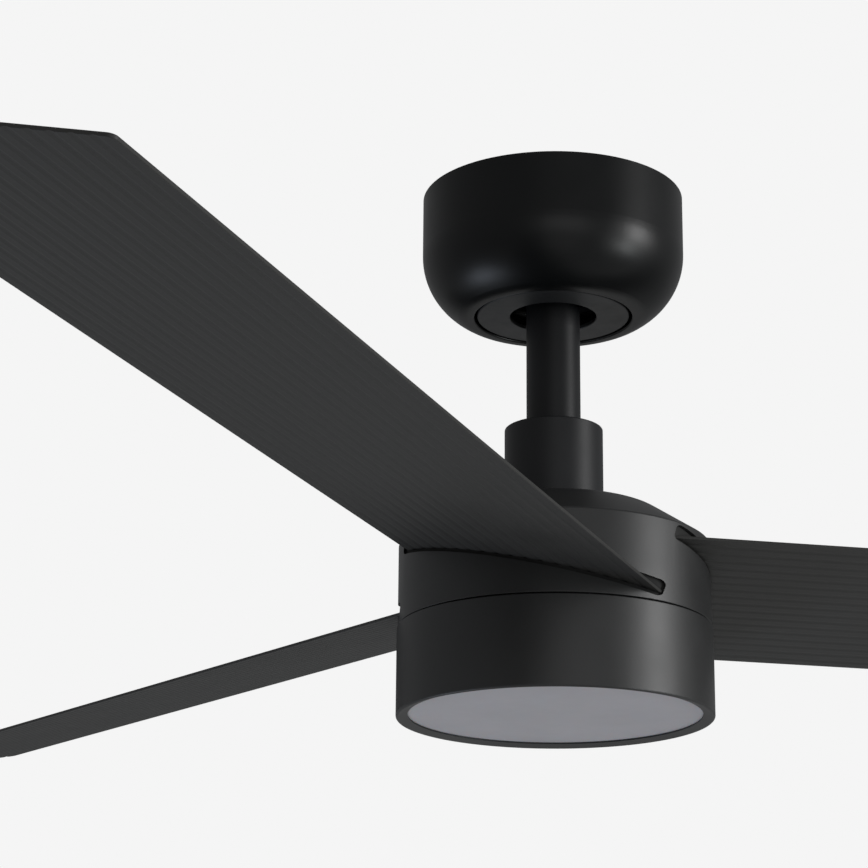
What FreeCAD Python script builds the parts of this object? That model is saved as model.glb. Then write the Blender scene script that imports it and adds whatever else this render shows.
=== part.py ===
import FreeCAD, Part

import math
import os
import re

import Sketcher
from FreeCAD import Placement, Rotation, Vector

# Ceiling fan with a light. The origin is the middle of the ceiling plane, +Z points up and the fan
# hangs below it, so every "depth" is a distance down from the ceiling. All lengths are millimetres.
DIMENSIONS = {
    # fasteners and clearances that several parts share
    "fixing_hole_radius": 2,
    "fixing_head_radius": 3.6,
    "fixing_head_height": 2.4,
    "small_hole_radius": 1.5,
    "small_head_radius": 2.8,
    "small_head_height": 2,
    "cut_past": 5,
    "box_round": 2,
    # canopy and its recessed insert
    "canopy_radius": 72.2,
    "canopy_wall_depth": 33,
    "canopy_side_bend": 39.2,
    "canopy_bottom_bend": 14,
    "canopy_bend_angle": 60.5,
    "canopy_mouth_radius": 43.4,
    "canopy_lip_round": 1,
    "canopy_sheet": 1.2,
    "ledge_depth": 56.9,
    "ledge_inner_radius": 30,
    "insert_radius": 41.9,
    "insert_hole_radius": 23.8,
    "insert_face_depth": 68.2,
    "insert_thickness": 2,
    "insert_edge_round": 0.8,
    "insert_hole_round": 0.5,
    "magnet_thickness": 2,
    "magnet_radius": 4,
    "magnet_circle": 36,
    "canopy_screw_circle": 38,
    # ceiling plate, hanger bracket and ball joint
    "bracket_length": 104,
    "bracket_width": 40,
    "bracket_sheet": 2.5,
    "bracket_tab_half": 14,
    "bracket_tab_end": 46,
    "tongue_half": 4,
    "earth_screw_x": 24,
    "earth_screw_y": 10,
    "bracket_slot_spacing": 80,
    "bracket_slot_length": 14,
    "bracket_slot_radius": 2.6,
    "cable_hole_x": 22,
    "cable_hole_radius": 9,
    "cup_outer_radius": 33,
    "cup_lap": 2,
    "cup_sphere_radius": 28.6,
    "cup_low_depth": 56.4,
    "cup_high_depth": 45,
    "ball_depth": 38,
    "ball_radius": 26,
    "ball_half_height": 20,
    "liner_inner_radius": 26.3,
    "liner_outer_radius": 28.3,
    "liner_low_depth": 55,
    "liner_high_depth": 46.5,
    "pin_radius": 2.5,
    "pin_length": 50,
    # receiver and terminal block on the ceiling plate
    "receiver_half_length": 36,
    "receiver_start": 27,
    "receiver_end": 53,
    "receiver_height": 23,
    "terminal_half_length": 17,
    "terminal_width": 15,
    "terminal_top_depth": 0.5,
    "terminal_height": 13,
    "terminal_round": 1,
    # downrod, coupling and shaft
    "rod_radius": 14.75,
    "rod_wall": 2.2,
    "rod_top_depth": 20,
    "rod_end_depth": 160,
    "wire_radius": 1.8,
    "wire_offset": 4.5,
    "wire_top_depth": 14,
    "wire_end_depth": 262,
    "cover_radius": 26.7,
    "cover_top_depth": 133.5,
    "cover_end_depth": 180.8,
    "cover_wall": 1.5,
    "cover_gap": 0.1,
    "cover_round": 0.8,
    "coupling_radius": 19.5,
    "coupling_top_depth": 137,
    "coupling_end_depth": 188,
    "coupling_chamfer": 4,
    "bolt_radius": 2.5,
    "bolt_depth": 151,
    "bolt_head_radius": 5,
    "bolt_head_height": 2.8,
    "bolt_nut_across": 8.6,
    "bolt_nut_height": 3.2,
    "set_screw_radius": 2.5,
    "set_screw_socket": 1.2,
    "set_screw_depth": 144,
    "shaft_radius": 10,
    "shaft_bore": 6.5,
    "shaft_top_depth": 164,
    "shaft_shoulder_depth": 243.4,
    "shaft_end_depth": 253,
    "shaft_thread_radius": 8,
    "shaft_nut_across": 22,
    "shaft_nut_height": 6,
    # hub shell
    "hub_radius": 83.45,
    "hub_rim_depth": 244.6,
    "hub_rim_round": 0.5,
    "hub_shoulder_depth": 200.2,
    "hub_cone_radius": 55.2,
    "hub_top_depth": 181.6,
    "hub_shoulder_round": 1.2,
    "hub_top_round": 13.9,
    "hub_wall": 1.6,
    "hub_flat_radius": 50.2,
    "hub_slope_radius": 57.7,
    "hub_slope_drop": 2.4,
    "hub_hole_radius": 22,
    "hub_boss_circle": 34,
    "hub_boss_radius": 4.5,
    "hub_screw_grip": 6,
    "slot_below_blade": 3.4,
    "slot_above_blade": 5.6,
    "slot_corner": 2.6,
    "slot_lead_end": 73.7,
    "slot_trail_end": 69.6,
    "seal_gap": 0.3,
    "seal_thickness": 3,
    "seal_margin": 1.5,
    # motor
    "can_radius": 44,
    "can_wall": 3,
    "can_top_depth": 190,
    "can_plate": 2.5,
    "can_flange_radius": 50,
    "can_end_depth": 236,
    "carrier_screw_circle": 47,
    "carrier_screw_grip": 6,
    "boss_outer_radius": 21,
    "bearing_radius": 18,
    "bearing_height": 9,
    "upper_bearing_depth": 192,
    "lower_bearing_depth": 228,
    "inner_race_radius": 12.5,
    "outer_race_radius": 15.5,
    "ball_bearing_radius": 1.4,
    "ball_bearing_track": 1.65,
    "ball_bearing_count": 10,
    "magnet_inner_radius": 37.3,
    "magnet_top_depth": 203,
    "magnet_end_depth": 225,
    "magnet_poles": 14,
    "magnet_gap_angle": 3,
    "rotor_screw_radius": 0.8,
    "rotor_screw_depth": 4,
    "rotor_screw_head": 1.5,
    "rotor_screw_head_height": 1,
    "rotor_screw_count": 6,
    "stator_radius": 36.5,
    "stator_hub_radius": 21,
    "stator_top_depth": 206,
    "stator_end_depth": 222,
    "stator_teeth": 12,
    "tooth_width": 7,
    "tooth_tip": 2.5,
    "tooth_tip_width": 15,
    "coil_overhang": 3,
    "coil_build": 2.4,
    "coil_start_radius": 24.5,
    "coil_end_radius": 33.2,
    "coil_round": 1.2,
    # blades and their carrier
    "blade_count": 3,
    "sweep_radius": 658,
    "blade_azimuth": 12.49,
    "blade_plane_depth": 222.48,
    "blade_pitch": 13.22,
    "blade_droop": 0.56,
    "blade_chord": 138.8,
    "blade_chord_shift": 3,
    "blade_thickness": 1.6,
    "blade_root": 26,
    "blade_root_arc": 52.5,
    "blade_corner": 3,
    "blade_edge_round": 0.4,
    "groove_count": 17,
    "groove_spacing": 7.8,
    "groove_width": 4.2,
    "groove_floor": 1,
    "groove_height": 0.35,
    "carrier_ring_radius": 50,
    "carrier_ring_depth": 236,
    "pad_inner": 46,
    "pad_outer": 66,
    "pad_half_width": 34,
    "pad_thickness": 4,
    "gasket_thickness": 1,
    "gasket_inset": 1,
    "washer_radius": 5,
    "washer_height": 0.8,
    "blade_screw_reach": 59.5,
    "blade_screw_spacing": 25,
    # light kit
    "light_radius": 84,
    "light_top_depth": 245.2,
    "light_end_depth": 293.4,
    "light_wall": 2,
    "light_foot_round": 1.2,
    "light_top_round": 0.6,
    "light_hole_radius": 14,
    "lip_radius": 77.8,
    "lip_rise": 2.1,
    "lip_height": 3,
    "mount_plate_radius": 48,
    "light_screw_circle": 22,
    "light_screw_length": 4,
    "driver_half_length": 26,
    "driver_start": 26,
    "driver_end": 60,
    "driver_height": 18,
    "controller_height": 14,
    "diffuser_thickness": 2,
    "diffuser_gap": 0.2,
    "tray_top_depth": 270,
    "tray_sheet": 1.5,
    "tray_gap": 0.1,
    "tray_rim": 1.8,
    "tray_post_circle": 66,
    "tray_post_radius": 3.5,
    "tray_post_thread": 8,
    "tray_screw_grip": 6,
    "board_radius": 70,
    "board_thickness": 1.6,
    "chip_length": 3.5,
    "chip_width": 2.8,
    "chip_height": 0.8,
    "chip_turn": 10,
}
# radius of each ring of LED chips and how many chips it has
CHIP_RINGS = ((18, 6), (36, 12), (54, 18))

doc = FreeCAD.newDocument("CeilingFan")
sheet = doc.addObject("Spreadsheet::Sheet", "dims")
for row, (alias, number) in enumerate(DIMENSIONS.items(), start=1):
    sheet.set(f"A{row}", alias)
    sheet.set(f"B{row}", str(number))
    sheet.setAlias(f"B{row}", alias)
doc.recompute()

ALIAS = re.compile(r"\b(" + "|".join(DIMENSIONS) + r")\b")
UP = Vector(0, 0, 1)
NODES = []


def linked(expression):
    """The expression with each dimension's name pointing at its cell in the sheet."""
    return ALIAS.sub(r"dims.\1", str(expression))


def size(expression):
    """The number that an expression of the sheet's dimensions comes to."""
    return float(sheet.evalExpression(linked(expression)))


def bind(owner, prop, expression):
    """Ties one property to the sheet and keeps it tied."""
    owner.setExpression(prop, linked(expression))


# ---------------------------------------------------------------- bodies, sketches and features

def body(name):
    """An empty body that will be written as one node."""
    made = doc.addObject("PartDesign::Body", name)
    made.Label = name
    NODES.append(made)
    return made


def arc_centre(start, end, radius, side):
    """Centre of the arc from start to end that lies to the left (+1) or right (-1) of the way."""
    half = (end - start) * 0.5
    rise = math.sqrt(max(radius ** 2 - half.Length ** 2, 0.0))
    left = Vector(-half.y, half.x, 0).normalize()
    return start + half + left * rise * side


def sketch_on(owner, plane, placement=None):
    """An empty sketch on one of the body's own origin planes."""
    sketch = owner.newObject("Sketcher::SketchObject", owner.Name + "_sketch")
    support = [face for face in owner.Origin.OriginFeatures if face.Role == plane]
    sketch.AttachmentSupport = [(support[0], "")]
    sketch.MapMode = "FlatFace"
    if placement is not None:
        sketch.AttachmentOffset = placement
    return sketch


def pin_point(sketch, edge, end, x_size, y_size):
    """Holds one end of an edge at a place given by two expressions."""
    for kind, axis, expression in (("DistanceX", -2, x_size), ("DistanceY", -1, y_size)):
        number = size(expression)
        if abs(number) < 1e-9:
            sketch.addConstraint(Sketcher.Constraint("PointOnObject", edge, end, axis))
            continue
        index = sketch.addConstraint(Sketcher.Constraint(kind, edge, end, number))
        bind(sketch, f"Constraints[{index}]", expression)


def outline(sketch, corners):
    """Closed outline through corners given as two expressions each. A corner's third and fourth items
    are the radius of the arc that leads on to the next corner and the side its centre lies on."""
    places = [Vector(size(corner[0]), size(corner[1]), 0) for corner in corners]
    ends = []
    for index, corner in enumerate(corners):
        start, end = places[index], places[(index + 1) % len(places)]
        if len(corner) == 2:
            edge = sketch.addGeometry(Part.LineSegment(start, end))
            ends.append((edge, 1, 2))
            continue
        radius, side = size(corner[2]), corner[3]
        centre = arc_centre(start, end, radius, side)
        begin, finish = (start, end) if side > 0 else (end, start)
        angles = [math.atan2(place.y - centre.y, place.x - centre.x) for place in (begin, finish)]
        circle = Part.Circle(centre, UP, radius)
        edge = sketch.addGeometry(Part.ArcOfCircle(circle, angles[0], angles[1]))
        ends.append((edge, 1, 2) if side > 0 else (edge, 2, 1))
    for index, (edge, start, end) in enumerate(ends):
        following = ends[(index + 1) % len(ends)]
        sketch.addConstraint(Sketcher.Constraint("Coincident", edge, end, following[0], following[1]))
    for index, corner in enumerate(corners):
        edge, start, _ = ends[index]
        pin_point(sketch, edge, start, corner[0], corner[1])
        if len(corner) > 2:
            number = sketch.addConstraint(Sketcher.Constraint("Radius", edge, size(corner[2])))
            bind(sketch, f"Constraints[{number}]", corner[2])


def circle(sketch, x_size, y_size, radius):
    """A circle whose centre and radius are expressions."""
    centre = Vector(size(x_size), size(y_size), 0)
    edge = sketch.addGeometry(Part.Circle(centre, UP, size(radius)))
    pin_point(sketch, edge, 3, x_size, y_size)
    index = sketch.addConstraint(Sketcher.Constraint("Radius", edge, size(radius)))
    bind(sketch, f"Constraints[{index}]", radius)


def turn(owner, corners, cut=False):
    """Turns a half section, radius and height, about the vertical axis."""
    sketch = sketch_on(owner, "XZ_Plane")
    outline(sketch, corners)
    kind = "PartDesign::Groove" if cut else "PartDesign::Revolution"
    feature = owner.newObject(kind, owner.Name + ("_groove" if cut else "_turned"))
    feature.Profile = sketch
    feature.ReferenceAxis = (sketch, ["V_Axis"])
    feature.Angle = 360


def extrude(owner, sketch, length, cut=False, back=False, middle=False):
    """Pads or pockets a sketch. A pad goes along its normal and a pocket against it, unless back."""
    kind = "PartDesign::Pocket" if cut else "PartDesign::Pad"
    feature = owner.newObject(kind, owner.Name + ("_pocket" if cut else "_pad"))
    feature.Profile = sketch
    bind(feature, "Length", length)
    feature.Reversed = back
    feature.Midplane = middle
    return feature


def around(owner, features, count):
    """Repeats features evenly around the vertical axis."""
    axis = [line for line in owner.Origin.OriginFeatures if line.Role == "Z_Axis"][0]
    pattern = owner.newObject("PartDesign::PolarPattern", owner.Name + "_around")
    pattern.Originals = features
    pattern.Axis = (axis, [""])
    pattern.Angle = 360
    bind(pattern, "Occurrences", count)
    owner.Tip = pattern
    return pattern


def round_edges(owner, radius, wanted):
    """Fillets the edges of the body that the test picks out."""
    doc.recompute()
    base = owner.Tip
    picked = [f"Edge{number}" for number, edge in enumerate(base.Shape.Edges, start=1) if wanted(edge)]
    fillet = owner.newObject("PartDesign::Fillet", owner.Name + "_fillet")
    fillet.Base = (base, picked)
    bind(fillet, "Radius", radius)
    return fillet


def ring_edge(radius, height):
    """A test for the level circular edge of that radius and height."""
    def wanted(edge):
        box = edge.BoundBox
        level = abs(box.ZMax - size(height)) < 1e-3 and box.ZLength < 1e-3
        return level and abs(box.XLength - 2 * size(radius)) < 1e-2
    return wanted


def tube(name, outer, inner, top, end):
    """A plain tube or rod between two depths."""
    made = body(name)
    corners = [(inner, f"-({top})"), (outer, f"-({top})"), (outer, f"-({end})"), (inner, f"-({end})")]
    turn(made, corners)


def level_sketch(owner, depth):
    """An empty sketch on a level plane at a depth."""
    sketch = sketch_on(owner, "XY_Plane", Placement(Vector(0, 0, -size(depth)), Rotation()))
    bind(sketch, "AttachmentOffset.Base.z", f"-({depth})")
    return sketch


def box_body(name, half_length, y_low, y_high, top, height, rounding):
    """A rectangular case that hangs from a depth, rounded at its upright corners."""
    made = body(name)
    sketch = level_sketch(made, top)
    outline(sketch, [(f"-{half_length}", y_low), (half_length, y_low), (half_length, y_high),
                     (f"-{half_length}", y_high)])
    extrude(made, sketch, height, back=True)
    upright = size(height) / 2
    round_edges(made, rounding, lambda edge: edge.BoundBox.ZLength > upright)


# ------------------------------------------------------------------ groups of separate fasteners

def group(name, solids):
    """Separate equal solids that share one node."""
    made = doc.addObject("Part::Feature", name)
    made.Label = name
    made.Shape = Part.makeCompound(solids)
    NODES.append(made)


def screw(shank, length, head, head_height):
    """A pan head screw that points up from the underside of its head's seat at the origin."""
    stem = Part.makeCylinder(shank, length)
    pan = Part.makeCylinder(head, head_height, Vector(0, 0, -head_height))
    rim = [edge for edge in pan.Edges if abs(edge.BoundBox.ZMax + head_height) < 1e-6]
    pan = pan.makeFillet(head_height * 0.45, rim)
    drive = Part.makeBox(head * 1.1, head * 0.24, head_height * 0.5)
    drive.translate(Vector(-head * 0.55, -head * 0.12, -head_height))
    cross = drive.copy()
    cross.rotate(Vector(), UP, 90)
    return stem.fuse(pan).cut(drive.fuse(cross)).removeSplitter()


def fixing_screw(length):
    """The pan head screw that most parts are held by."""
    return screw(size("fixing_hole_radius"), length, size("fixing_head_radius"), size("fixing_head_height"))


def small_screw(length):
    """The lighter pan head screw of the carrier and the LED tray."""
    return screw(size("small_hole_radius"), length, size("small_head_radius"), size("small_head_height"))


def placed(solid, place):
    """A copy of a solid at a placement."""
    copy = solid.copy()
    copy.Placement = place.multiply(copy.Placement)
    return copy


def circle_places(radius, depth, count, first=0.0, turned=None):
    """Places evenly spaced on a level circle."""
    places = []
    for index in range(count):
        angle = first + index * 360 / count
        spot = Rotation(UP, angle).multVec(Vector(radius, 0, -depth))
        places.append(Placement(spot, turned or Rotation(UP, angle)))
    return places


FLIPPED = Rotation(Vector(1, 0, 0), 180)
ROTOR_TURN = Placement(Vector(), Rotation(UP, size("blade_azimuth")))
PITCH = Rotation(Vector(1, 0, 0), -size("blade_pitch"))
DROOP = Rotation(Vector(0, 1, 0), size("blade_droop"))
BLADES = range(int(size("blade_count")))


# ------------------------------------------------------------------------------ blade placements

def blade_azimuth(index):
    """The turn about the vertical axis that brings a blade's frame round to its place."""
    return Rotation(UP, size("blade_azimuth") + index * 360 / len(BLADES))


def blade_placement(index):
    """Where a blade's own frame goes: X out along the blade, Y across its chord, Z its upper side."""
    rotation = blade_azimuth(index).multiply(DROOP).multiply(PITCH)
    return Placement(Vector(0, 0, -size("blade_plane_depth")), rotation)


def screw_rows():
    """The places across the chord of a blade's three screws."""
    return [f"blade_chord_shift + {step} * blade_screw_spacing" for step in (-1, 0, 1)]


# ------------------------------------------------------------------------------- ceiling fixture

def make_ceiling_plate():
    """Flat plate against the ceiling, with a tab for the receiver and a notch for each bracket leg."""
    made = body("ceiling_plate")
    half_x, half_y, notch = "bracket_length / 2", "bracket_width / 2", "bracket_length / 2 - bracket_sheet"
    plate = sketch_on(made, "XY_Plane")
    outline(plate, [
        (f"-{half_x}", f"-{half_y}"), (half_x, f"-{half_y}"),
        (half_x, "-tongue_half"), (notch, "-tongue_half"), (notch, "tongue_half"), (half_x, "tongue_half"),
        (half_x, half_y), ("bracket_tab_half", half_y), ("bracket_tab_half", "bracket_tab_end"),
        ("-bracket_tab_half", "bracket_tab_end"), ("-bracket_tab_half", half_y), (f"-{half_x}", half_y),
        (f"-{half_x}", "tongue_half"), (f"-({notch})", "tongue_half"),
        (f"-({notch})", "-tongue_half"), (f"-{half_x}", "-tongue_half"),
    ])
    circle(plate, "cable_hole_x", 0, "cable_hole_radius")
    circle(plate, "-earth_screw_x", "earth_screw_y", "fixing_hole_radius")
    reach, bend = "(bracket_slot_length / 2 - bracket_slot_radius)", "bracket_slot_radius"
    for sign in ("-", ""):
        near = f"{sign}bracket_slot_spacing / 2 - {reach}"
        far = f"{sign}bracket_slot_spacing / 2 + {reach}"
        outline(plate, [(near, f"-{bend}"), (far, f"-{bend}", bend, 1), (f"{far} + {bend}", 0, bend, 1),
                        (far, bend), (near, bend, bend, 1), (f"{near} - {bend}", 0, bend, 1)])
    extrude(made, plate, "bracket_sheet", back=True)


def make_hanger_bracket():
    """Two legs that hook into the ceiling plate, the plate across their feet and the cup for the ball."""
    made = body("hanger_bracket")
    half_x, half_y = "bracket_length / 2", "bracket_width / 2"
    lower = level_sketch(made, "ledge_depth")
    outline(lower, [(f"-{half_x}", f"-{half_y}"), (half_x, f"-{half_y}"), (half_x, half_y),
                    (f"-{half_x}", half_y)])
    for sign in ("-", ""):
        circle(lower, f"{sign}canopy_screw_circle", 0, "fixing_hole_radius")
    extrude(made, lower, "bracket_sheet")
    for sign in (1, -1):
        inner, outer = f"{sign} * ({half_x} - bracket_sheet)", f"{sign} * {half_x}"
        leg = sketch_on(made, "XZ_Plane")
        outline(leg, [(inner, "-bracket_sheet"), (outer, "-bracket_sheet"), (outer, "-ledge_depth"),
                      (inner, "-ledge_depth")])
        extrude(made, leg, "bracket_width", middle=True)
        tongue = sketch_on(made, "XZ_Plane")
        hook = "-bracket_sheet * 2"
        outline(tongue, [(inner, 0), (outer, 0), (outer, hook), (inner, hook)])
        extrude(made, tongue, "tongue_half * 2", middle=True)
    mouth = level_sketch(made, "ledge_depth")
    circle(mouth, 0, 0, "cup_outer_radius - cup_lap")
    extrude(made, mouth, "bracket_sheet * 2", cut=True, back=True)
    low = "sqrt(cup_sphere_radius^2 - (cup_low_depth - ball_depth)^2)"
    high = "sqrt(cup_sphere_radius^2 - (cup_high_depth - ball_depth)^2)"
    turn(made, [(low, "-cup_low_depth", "cup_sphere_radius", 1), (high, "-cup_high_depth"),
                ("cup_outer_radius", "-cup_high_depth"), ("cup_outer_radius", "-ledge_depth"),
                (low, "-ledge_depth")])


def make_liner():
    """Spherical liner between the ball and the cup."""
    made = body("seat_liner")
    inner_low = "sqrt(liner_inner_radius^2 - (liner_low_depth - ball_depth)^2)"
    inner_high = "sqrt(liner_inner_radius^2 - (liner_high_depth - ball_depth)^2)"
    outer_low = "sqrt(liner_outer_radius^2 - (liner_low_depth - ball_depth)^2)"
    outer_high = "sqrt(liner_outer_radius^2 - (liner_high_depth - ball_depth)^2)"
    turn(made, [(inner_low, "-liner_low_depth", "liner_inner_radius", 1), (inner_high, "-liner_high_depth"),
                (outer_high, "-liner_high_depth", "liner_outer_radius", -1), (outer_low, "-liner_low_depth")])


def make_ball():
    """Hanger ball with flats at its top and foot, bored for the rod and for the cross pin."""
    made = body("hanger_ball")
    flat = "sqrt(ball_radius^2 - ball_half_height^2)"
    foot, top = "-ball_depth - ball_half_height", "-ball_depth + ball_half_height"
    turn(made, [("rod_radius", foot), (flat, foot, "ball_radius", 1), (flat, top), ("rod_radius", top)])
    bore = sketch_on(made, "YZ_Plane")
    circle(bore, 0, "-ball_depth", "pin_radius")
    extrude(made, bore, "ball_radius * 3", cut=True, middle=True)


def make_pin():
    """Cross pin through the ball and the rod."""
    made = body("hanger_pin")
    section = sketch_on(made, "YZ_Plane")
    circle(section, 0, "-ball_depth", "pin_radius")
    extrude(made, section, "pin_length", middle=True)


def make_rod():
    """Downrod tube with its cross holes for the ball's pin and the coupling's bolt."""
    made = body("downrod")
    inner = "rod_radius - rod_wall"
    turn(made, [(inner, "-rod_top_depth"), ("rod_radius", "-rod_top_depth"), ("rod_radius", "-rod_end_depth"),
                (inner, "-rod_end_depth")])
    holes = sketch_on(made, "YZ_Plane")
    circle(holes, 0, "-ball_depth", "pin_radius")
    circle(holes, 0, "-bolt_depth", "bolt_radius")
    extrude(made, holes, "rod_radius * 4", cut=True, middle=True)


def make_canopy():
    """Canopy: straight wall, two tangent bends to a flat rim, and a mouth turned up to a screw ledge."""
    made = body("canopy")
    side_centre = "(canopy_radius - canopy_side_bend)"
    inner_side = "(canopy_side_bend - canopy_sheet)"
    inner_bottom = "(canopy_bottom_bend - canopy_sheet)"
    turn_x = f"{side_centre} + canopy_side_bend * cos(canopy_bend_angle)"
    turn_z = "-canopy_wall_depth - canopy_side_bend * sin(canopy_bend_angle)"
    inner_x = f"{side_centre} + {inner_side} * cos(canopy_bend_angle)"
    inner_z = f"-canopy_wall_depth - {inner_side} * sin(canopy_bend_angle)"
    bend_gap = "(canopy_side_bend - canopy_bottom_bend)"
    rim_x = f"({side_centre} + {bend_gap} * cos(canopy_bend_angle))"
    rim_z = f"(-canopy_wall_depth - {bend_gap} * sin(canopy_bend_angle) - canopy_bottom_bend)"
    mouth_outer = "(canopy_mouth_radius + canopy_sheet)"
    turn(made, [
        ("canopy_radius", 0),
        ("canopy_radius - canopy_sheet", 0),
        ("canopy_radius - canopy_sheet", "-canopy_wall_depth", inner_side, -1),
        (inner_x, inner_z, inner_bottom, -1),
        (rim_x, f"{rim_z} + canopy_sheet"),
        (mouth_outer, f"{rim_z} + canopy_sheet"),
        (mouth_outer, "-ledge_depth"),
        ("ledge_inner_radius", "-ledge_depth"),
        ("ledge_inner_radius", "-ledge_depth - canopy_sheet"),
        ("canopy_mouth_radius", "-ledge_depth - canopy_sheet"),
        ("canopy_mouth_radius", rim_z),
        (rim_x, rim_z, "canopy_bottom_bend", 1),
        (turn_x, turn_z, "canopy_side_bend", 1),
        ("canopy_radius", "-canopy_wall_depth"),
    ])
    round_edges(made, "canopy_lip_round", ring_edge("canopy_mouth_radius", rim_z))
    holes = sketch_on(made, "XY_Plane")
    for sign in ("-", ""):
        circle(holes, f"{sign}canopy_screw_circle", 0, "fixing_hole_radius")
    extrude(made, holes, "ledge_depth + canopy_sheet * 2", cut=True)


def make_insert():
    """Insert that closes the canopy's mouth around the rod, with three posts for its magnets."""
    made = body("canopy_insert")
    face, back = "-insert_face_depth", "-insert_face_depth + insert_thickness"
    turn(made, [("insert_hole_radius", face), ("insert_radius", face), ("insert_radius", back),
                ("insert_hole_radius", back)])
    round_edges(made, "insert_edge_round", ring_edge("insert_radius", face))
    round_edges(made, "insert_hole_round", ring_edge("insert_hole_radius", face))
    top = "(ledge_depth + canopy_sheet + magnet_thickness)"
    post = level_sketch(made, top)
    circle(post, 0, "magnet_circle", "magnet_radius")
    pad = extrude(made, post, f"insert_face_depth - insert_thickness / 2 - {top}", back=True)
    around(made, [pad], 3)


# ---------------------------------------------------------------------------- coupling and shaft

def make_cover():
    """Cylindrical cover over the coupling, closed at the top around the rod."""
    made = body("coupling_cover")
    inner, hole = "cover_radius - cover_wall", "rod_radius + cover_gap"
    turn(made, [(hole, "-cover_top_depth"), ("cover_radius", "-cover_top_depth"),
                ("cover_radius", "-cover_end_depth"), (inner, "-cover_end_depth"),
                (inner, "-cover_top_depth - cover_wall"), (hole, "-cover_top_depth - cover_wall")])
    round_edges(made, "cover_round", ring_edge("cover_radius", "-cover_top_depth"))


def make_coupling():
    """Socket for the rod above, screwed on the motor shaft below."""
    made = body("motor_coupling")
    turn(made, [("rod_radius", "-coupling_top_depth"), ("coupling_radius", "-coupling_top_depth"),
                ("coupling_radius", "-coupling_end_depth + coupling_chamfer"),
                ("coupling_radius - coupling_chamfer", "-coupling_end_depth"),
                ("shaft_radius", "-coupling_end_depth"),
                ("shaft_radius", "-shaft_top_depth"), ("shaft_bore", "-shaft_top_depth"),
                ("shaft_bore", "-rod_end_depth"), ("rod_radius", "-rod_end_depth")])
    bore = sketch_on(made, "YZ_Plane")
    circle(bore, 0, "-bolt_depth", "bolt_radius")
    extrude(made, bore, "coupling_radius * 3", cut=True, middle=True)
    sides = sketch_on(made, "XZ_Plane")
    circle(sides, 0, "-set_screw_depth", "set_screw_radius")
    extrude(made, sides, "coupling_radius * 3", cut=True, middle=True)


def make_shaft():
    """Hollow motor shaft, stepped down to a thread at the foot."""
    made = body("motor_shaft")
    turn(made, [("shaft_bore", "-shaft_top_depth"), ("shaft_radius", "-shaft_top_depth"),
                ("shaft_radius", "-shaft_shoulder_depth"), ("shaft_thread_radius", "-shaft_shoulder_depth"),
                ("shaft_thread_radius", "-shaft_end_depth"), ("shaft_bore", "-shaft_end_depth")])


def make_nut(name, across, bore, height, place):
    """Hexagon nut standing on its placement."""
    corner = across / math.sqrt(3)
    ring = [Rotation(UP, 60 * index).multVec(Vector(corner, 0, 0)) for index in range(7)]
    prism = Part.Face(Part.makePolygon(ring)).extrude(UP * height)
    hole = Part.makeCylinder(bore, height)
    group(name, [placed(prism.cut(hole), place)])


# ------------------------------------------------------------------------------------- the motor

def make_hub():
    """Spun hub shell: wall, cone and flat top, three bosses inside, and a slot for each blade."""
    made = body("hub_shell")
    turn(made, [("hub_hole_radius", "-hub_top_depth"), ("hub_cone_radius", "-hub_top_depth"),
                ("hub_radius", "-hub_shoulder_depth"), ("hub_radius", "-hub_rim_depth"),
                ("hub_hole_radius", "-hub_rim_depth")])
    round_edges(made, "hub_shoulder_round", ring_edge("hub_radius", "-hub_shoulder_depth"))
    round_edges(made, "hub_top_round", ring_edge("hub_cone_radius", "-hub_top_depth"))
    round_edges(made, "hub_rim_round", ring_edge("hub_radius", "-hub_rim_depth"))
    inner_top, past = "(-hub_top_depth - hub_wall)", "hub_hole_radius - cut_past"
    turn(made, [(past, inner_top), ("hub_flat_radius", inner_top),
                ("hub_slope_radius", f"{inner_top} - hub_slope_drop"),
                ("hub_radius - hub_wall", "-hub_shoulder_depth - hub_wall"),
                ("hub_radius - hub_wall", "-hub_rim_depth - cut_past"), (past, "-hub_rim_depth - cut_past")],
         cut=True)
    boss = level_sketch(made, "can_top_depth")
    circle(boss, "hub_boss_circle", 0, "hub_boss_radius")
    circle(boss, "hub_boss_circle", 0, "fixing_hole_radius")
    pad = extrude(made, boss, "can_top_depth - hub_top_depth - hub_wall / 2")
    around(made, [pad], 3)
    tilt = Placement(Vector(0, -size("blade_plane_depth"), 0), Rotation(UP, -size("blade_pitch")))
    slot = sketch_on(made, "YZ_Plane", tilt)
    bind(slot, "AttachmentOffset.Base.y", "-blade_plane_depth")
    low, high, bend = "-slot_below_blade", "slot_above_blade", "slot_corner"
    left, right = "-slot_trail_end", "slot_lead_end"
    outline(slot, [(f"{left} + {bend}", low), (f"{right} - {bend}", low, bend, 1), (right, f"{low} + {bend}"),
                   (right, f"{high} - {bend}", bend, 1), (f"{right} - {bend}", high),
                   (f"{left} + {bend}", high, bend, 1), (left, f"{high} - {bend}"),
                   (left, f"{low} + {bend}", bend, 1)])
    pocket = extrude(made, slot, "hub_radius + cut_past", cut=True, back=True)
    around(made, [pocket], "blade_count")
    made.Placement = ROTOR_TURN


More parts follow.
